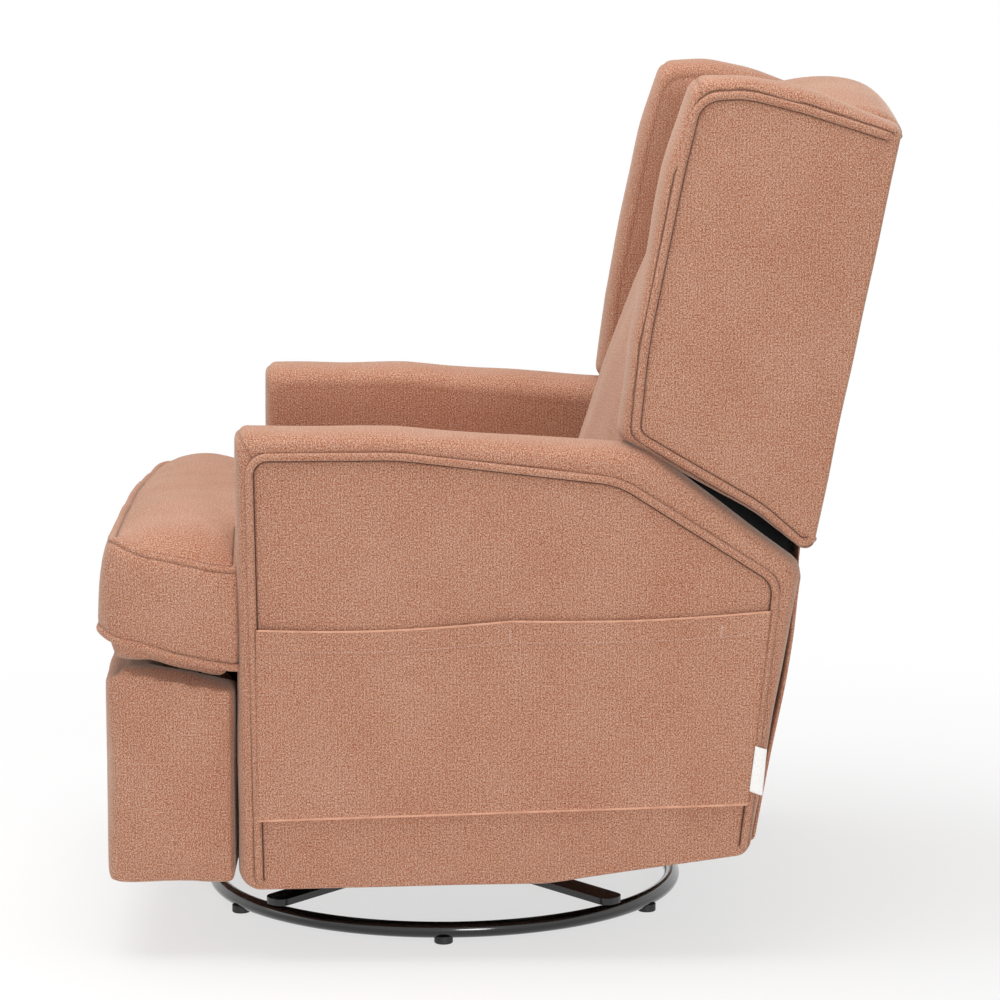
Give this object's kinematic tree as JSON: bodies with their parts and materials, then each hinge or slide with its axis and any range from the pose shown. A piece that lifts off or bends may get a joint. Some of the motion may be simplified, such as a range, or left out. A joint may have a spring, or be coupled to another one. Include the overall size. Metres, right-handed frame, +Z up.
{
  "type": "swivel recliner",
  "caption": "Upholstered swivel recliner with a wing back, padded arms with side pockets, a T-shaped seat cushion, a folding legrest and a ring base.",
  "frame": {"origin": "on the floor under the middle of the whole chair's footprint", "axes": "+Z up, the chair faces -Y, +X towards the sitter's left arm"},
  "size_m": [0.7894, 0.946, 1.018],
  "materials": {
    "terracotta_fabric": "heathered slub weave",
    "black_metal": "gloss black",
    "zinc_steel": "zinc plated",
    "frame_wood": "bare plywood and timber",
    "black_webbing": "elastic webbing",
    "black_plastic": "moulded"
  },
  "bodies": {
    "base": {"base_ring": "black_metal", "base_spider": "black_metal", "floor_feet": "black_plastic", "lower_race": "zinc_steel", "race_balls": "zinc_steel"},
    "seat": {"upper_race": "zinc_steel", "turntable": "black_metal", "king_bolt": "zinc_steel", "cross_rails": "black_metal", "side_plate_left": "black_metal", "side_plate_right": "black_metal", "plate_pins": "zinc_steel", "back_pivot_pins": "zinc_steel", "arm_bolts": "zinc_steel", "seat_side_rails": "frame_wood", "seat_front_rail": "frame_wood", "seat_rear_rail": "frame_wood", "seat_straps": "black_webbing", "seat_cushion": "terracotta_fabric", "arm_cover_left": "terracotta_fabric", "arm_cover_right": "terracotta_fabric", "arm_frame_left": "frame_wood", "arm_frame_right": "frame_wood", "side_pocket_left": "terracotta_fabric", "side_pocket_right": "terracotta_fabric", "rear_stretcher": "frame_wood", "rear_panel": "terracotta_fabric", "release_cup": "black_plastic", "release_pin": "zinc_steel"},
    "lift": {"lift_links": "black_metal", "lift_pins": "zinc_steel"},
    "reach": {"reach_links": "black_metal", "reach_pins": "zinc_steel"},
    "legrest": {"legrest_pad": "terracotta_fabric", "legrest_board": "frame_wood", "legrest_brackets": "black_metal", "ear_pins": "zinc_steel", "legrest_screws": "zinc_steel"},
    "rear_control": {"rear_control_links": "black_metal"},
    "front_control": {"front_control_links": "black_metal"},
    "back": {"back_brackets": "black_metal", "back_posts": "frame_wood", "back_rails": "frame_wood", "back_straps": "black_webbing", "back_pad": "terracotta_fabric", "wing_left": "terracotta_fabric", "wing_right": "terracotta_fabric", "wing_boards": "frame_wood", "outside_back": "terracotta_fabric", "back_bolts": "zinc_steel"},
    "release": {"release_paddle": "black_plastic"}
  },
  "joints": [
    {"name": "swivel", "type": "hinge", "parent": "base", "child": "seat", "pos_m": [0, -0.06, 0.053], "axis": [0, 0, 1], "continuous": true},
    {"name": "legrest_extend", "type": "hinge", "parent": "seat", "child": "lift", "pos_m": [0, -0.268, 0.295], "axis": [-1, 0, 0], "range_deg": [0, 108]},
    {"name": "reach_fold", "type": "hinge", "parent": "lift", "child": "reach", "pos_m": [0, -0.23428, 0.107], "axis": [1, 0, 0], "range_deg": [0, 132.1]},
    {"name": "legrest_turn", "type": "hinge", "parent": "reach", "child": "legrest", "pos_m": [0, -0.365, 0.261], "axis": [-1, 0, 0], "range_deg": [0, 108.1]},
    {"name": "rear_control_turn", "type": "hinge", "parent": "seat", "child": "rear_control", "pos_m": [0, -0.2395, 0.3029], "axis": [-1, 0, 0], "range_deg": [0, 105.5]},
    {"name": "front_control_turn", "type": "hinge", "parent": "lift", "child": "front_control", "pos_m": [0, -0.2092, 0.1148], "axis": [1, 0, 0], "range_deg": [0, 136]},
    {"name": "back_recline", "type": "hinge", "parent": "seat", "child": "back", "pos_m": [0, 0.217, 0.315], "axis": [-1, 0, 0], "range_deg": [0, 35]},
    {"name": "release_pull", "type": "hinge", "parent": "seat", "child": "release", "pos_m": [-0.38, -0.15, 0.5], "axis": [0, 1, 0], "range_deg": [0, 25], "stiffness_Nm_per_rad": 1}
  ],
  "couplings": [
    {"joint": "reach_fold", "follows": "legrest_extend", "ratio": 1.2222},
    {"joint": "legrest_turn", "follows": "legrest_extend", "ratio": 1},
    {"joint": "rear_control_turn", "follows": "legrest_extend", "ratio": 0.97574},
    {"joint": "front_control_turn", "follows": "legrest_extend", "ratio": 1.2577}
  ]
}
